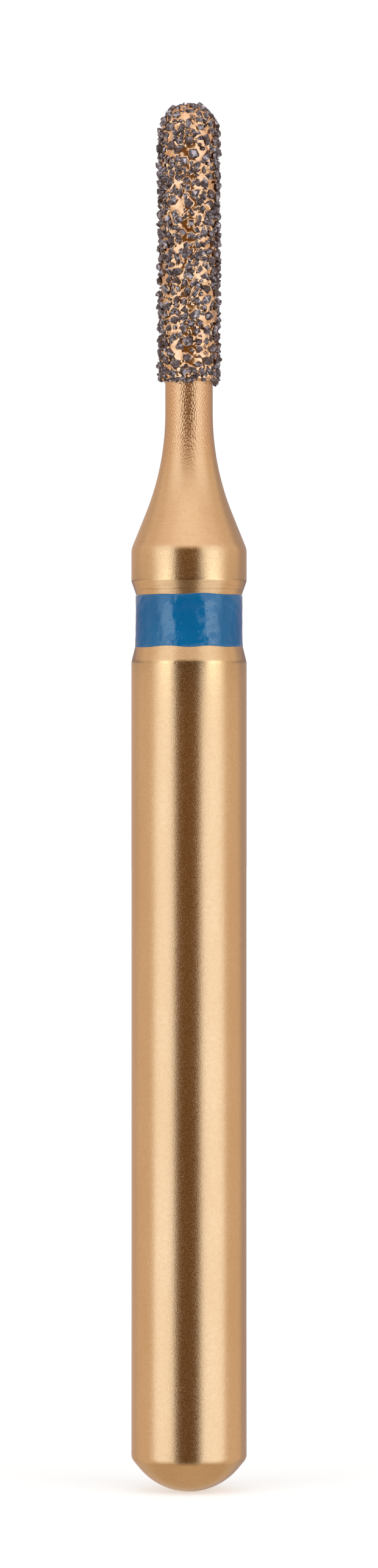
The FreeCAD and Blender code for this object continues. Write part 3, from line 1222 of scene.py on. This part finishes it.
def makeWorld():
    world = bpy.data.worlds.new("paleStudio")
    bpy.context.scene.world = world
    world.use_nodes = True
    tree = world.node_tree
    tree.nodes.clear()
    level = studio["ambient"]
    soft = add(tree, "ShaderNodeBackground", {"Color": (level, level, level, 1)})
    white = add(tree, "ShaderNodeBackground", {"Color": (1, 1, 1, 1)})
    mixed = add(
        tree, "ShaderNodeMixShader", {0: seenRays(tree), 1: soft.outputs[0], 2: white.outputs[0]}
    )
    add(tree, "ShaderNodeOutputWorld", {"Surface": mixed.outputs[0]})


def makeFloor():
    half = studio["floorSize"] / 2
    corners = [(-half, -half, 0), (half, -half, 0), (half, half, 0), (-half, half, 0)]
    floor = makePiece("paleFloor", corners, [(0, 1, 2, 3)])
    material, tree, shader = newMaterial("paleFloor")
    shader.inputs["Base Color"].default_value = studio["floorColour"]
    shader.inputs["Roughness"].default_value = studio["floorRoughness"]
    shader.inputs["Specular IOR Level"].default_value = 0.0
    # it glows up to white in the distance and keeps the shadow near the bur
    place = add(tree, "ShaderNodeTexCoord").outputs["Object"]
    distance = add(tree, "ShaderNodeVectorMath", {0: place}, operation="LENGTH").outputs["Value"]
    near, far = (value * mm for value in studio["floorFade"])
    glow = remap(tree, distance, near, far, studio["floorNear"], 1.0)
    strength = calc(tree, "MULTIPLY", glow, seenRays(tree))
    tree.links.new(strength, shader.inputs["Emission Strength"])
    shader.inputs["Emission Color"].default_value = (1, 1, 1, 1)
    material.cycles.emission_sampling = "NONE"
    floor.data.materials.append(material)
    # reflections see the white world and the cards below the bur in its place
    floor.visible_glossy = False


def makeLamp(name, azimuth, elevation, size):
    lamp = bpy.data.lights.new(name, "AREA")
    lamp.shape = "RECTANGLE"
    lamp.size, lamp.size_y = size[0] * mm, size[1] * mm
    lamp.energy = studio["lampRadiance"] * math.pi * lamp.size * lamp.size_y
    holder = bpy.data.objects.new(name, lamp)
    place = towards(azimuth, elevation, studio["lampDistance"])
    holder.location = place * mm
    aim = np.array([0, 0, studio["middle"]]) - place
    holder.rotation_euler = Vector(aim).to_track_quat("-Z", "Y").to_euler()
    holder.visible_camera = False
    # the cards stand for the lamps in reflections
    holder.visible_glossy = False
    bpy.context.scene.collection.objects.link(holder)


def cardFinish(name):
    material = bpy.data.materials.new(name)
    material.use_nodes = True
    tree = material.node_tree
    tree.nodes.clear()
    shown = add(tree, "ShaderNodeAttribute", attribute_name="glow").outputs["Color"]
    fade = add(tree, "ShaderNodeAttribute", attribute_name="fade").outputs["Fac"]
    glow = add(tree, "ShaderNodeEmission", {"Color": shown})
    clear = add(tree, "ShaderNodeBsdfTransparent")
    mixed = add(tree, "ShaderNodeMixShader", {0: fade, 1: clear.outputs[0], 2: glow.outputs[0]})
    add(tree, "ShaderNodeOutputMaterial", {"Surface": mixed.outputs[0]})
    material.cycles.emission_sampling = "NONE"
    return material


def fadeAt(azimuth, elevation, azimuths, elevations, card):
    side = float(np.interp(elevation, studio["fadeHeights"], card["sideFade"]))
    left, right = card.get("skew", (1, 1))
    lower, upper = card["endFade"]
    fade = 1.0
    for distance, width in (
        (azimuth - azimuths[0], side * left),
        (azimuths[1] - azimuth, side * right),
        (elevation - elevations[0], lower),
        (elevations[1] - elevation, upper),
    ):
        if width:
            fade *= min(1.0, max(0.0, distance / width))
    return fade


def makeCard(name, card, elevations, sign=1):
    steps = studio["cardSteps"]
    azimuths = sorted(sign * azimuth for azimuth in card["azimuths"])
    low, high = card["colours"][0], card["colours"][-1]
    points, colours, fades = [], [], []
    for elevation in np.linspace(*elevations, steps + 1):
        share = (elevation - elevations[0]) / (elevations[1] - elevations[0])
        colour = [a + (b - a) * share for a, b in zip(low, high)]
        for azimuth in np.linspace(*azimuths, steps + 1):
            points.append(towards(azimuth, elevation, card["radius"]))
            colours += [*colour, 1.0]
            fades.append(fadeAt(azimuth, elevation, azimuths, elevations, card))
    faces = []
    for i in range(steps):
        for j in range(steps):
            a = i * (steps + 1) + j
            faces.append((a, a + 1, a + steps + 2, a + steps + 1))
    piece = makePiece(name, points, faces)
    layer = piece.data.color_attributes.new("glow", "FLOAT_COLOR", "POINT")
    layer.data.foreach_set("color", colours)
    addFloats(piece, "fade", fades)
    piece.data.materials.append(cardFinish(name))
    piece.visible_camera = False
    piece.visible_diffuse = False
    piece.visible_shadow = False
    piece.visible_transmission = False
    piece.visible_volume_scatter = False


makeWorld()
makeFloor()
for name, lamp in lamps.items():
    makeLamp(name, **lamp)
for name, card in {**cards, **nearCards}.items():
    elevations = card.get("elevations", nearHeights)
    if card.get("mirrored"):
        makeCard(name + "Left", card, elevations, -1)
        makeCard(name + "Right", card, elevations)
    else:
        makeCard(name, card, elevations)
print("studio ready")


# Camera

view = {
    "distance": 80.0,
    "height": 9.818,
    "frameHeight": 21.775,
    "sensor": 24.0,
    "clipStart": 1.0,
}

cameraData = bpy.data.cameras.new("photoView")
cameraData.sensor_fit = "AUTO"
cameraData.sensor_width = view["sensor"]
cameraData.lens = view["sensor"] * view["distance"] / view["frameHeight"]
cameraData.clip_start = view["clipStart"] * mm
camera = bpy.data.objects.new("photoView", cameraData)
camera.location = (0, -view["distance"] * mm, view["height"] * mm)
camera.rotation_euler = (math.pi / 2, 0, 0)
bpy.context.scene.collection.objects.link(camera)
bpy.context.scene.camera = camera
bpy.context.scene.view_settings.view_transform = "Standard"

print("camera set")
